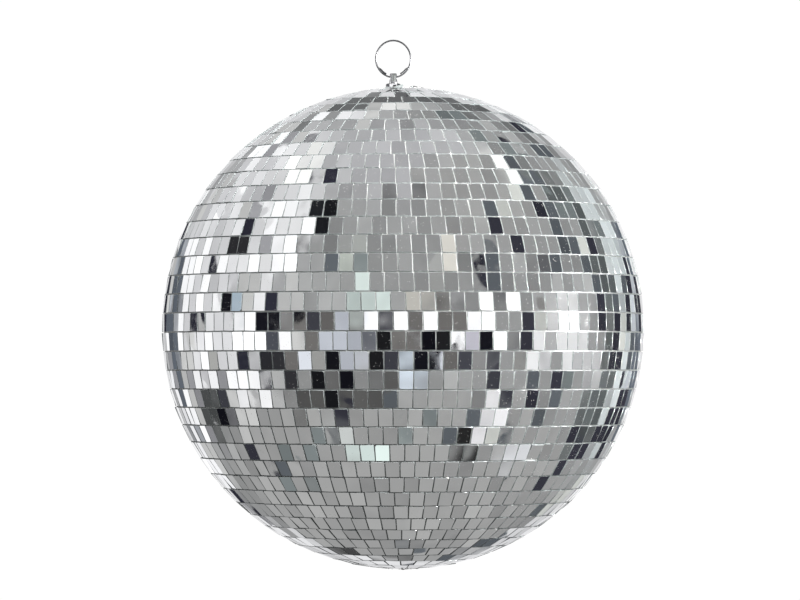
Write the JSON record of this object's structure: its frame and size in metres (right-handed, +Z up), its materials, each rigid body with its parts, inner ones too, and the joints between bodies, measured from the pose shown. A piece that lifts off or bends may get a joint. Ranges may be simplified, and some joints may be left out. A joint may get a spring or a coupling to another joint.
{
  "type": "mirror ball",
  "caption": "Hanging mirror ball, a plastic sphere covered in rows of small flat mirrors, with a threaded eye post and a split ring to hang it by.",
  "frame": {"origin": "where a hook bears on the ring: the underside of the ring's top", "axes": "+Z up along the post, +X along the eye's cross hole, so the ring stands in the XZ plane"},
  "size_m": [0.3, 0.3, 0.3309],
  "materials": {
    "mirror_tiles": "polished silvered glass",
    "shell_plastic": "moulded, matt white",
    "plated_steel": "bright zinc plated",
    "ring_wire": "drawn spring wire",
    "inner_steel": "plain rolled"
  },
  "bodies": {
    "hanging_ring": {"split_ring": "ring_wire"},
    "ball": {"eye_post": "plated_steel", "top_nut": "plated_steel", "top_washer": "plated_steel", "load_plate": "inner_steel", "spring_washer": "inner_steel", "lock_nut": "inner_steel", "upper_shell": "shell_plastic", "lower_shell": "shell_plastic", "joining_hoop": "shell_plastic", "closing_mirrors_top": "mirror_tiles", "centre_mirror_bottom": "mirror_tiles", "mirror_row_01": "mirror_tiles", "mirror_row_02": "mirror_tiles", "mirror_row_03": "mirror_tiles", "mirror_row_04": "mirror_tiles", "mirror_row_05": "mirror_tiles", "mirror_row_06": "mirror_tiles", "mirror_row_07": "mirror_tiles", "mirror_row_08": "mirror_tiles", "mirror_row_09": "mirror_tiles", "mirror_row_10": "mirror_tiles", "mirror_row_11": "mirror_tiles", "mirror_row_12": "mirror_tiles", "mirror_row_13": "mirror_tiles", "mirror_row_14": "mirror_tiles", "mirror_row_15": "mirror_tiles", "mirror_row_16": "mirror_tiles", "mirror_row_17": "mirror_tiles", "mirror_row_18": "mirror_tiles", "mirror_row_19": "mirror_tiles", "mirror_row_20": "mirror_tiles", "mirror_row_21": "mirror_tiles", "mirror_row_22": "mirror_tiles", "mirror_row_23": "mirror_tiles", "mirror_row_24": "mirror_tiles", "mirror_row_25": "mirror_tiles", "mirror_row_26": "mirror_tiles", "mirror_row_27": "mirror_tiles", "mirror_row_28": "mirror_tiles", "mirror_row_29": "mirror_tiles", "mirror_row_30": "mirror_tiles", "mirror_row_31": "mirror_tiles", "mirror_row_32": "mirror_tiles", "mirror_row_33": "mirror_tiles", "mirror_row_34": "mirror_tiles", "mirror_row_35": "mirror_tiles", "mirror_row_36": "mirror_tiles", "mirror_row_37": "mirror_tiles", "mirror_row_38": "mirror_tiles"}
  },
  "joints": [
    {"name": "ball_swing", "type": "hinge", "parent": "hanging_ring", "child": "ball", "pos_m": [0, 0, -0.0225], "axis": [1, 0, 0], "range_deg": [-105, 105]}
  ]
}
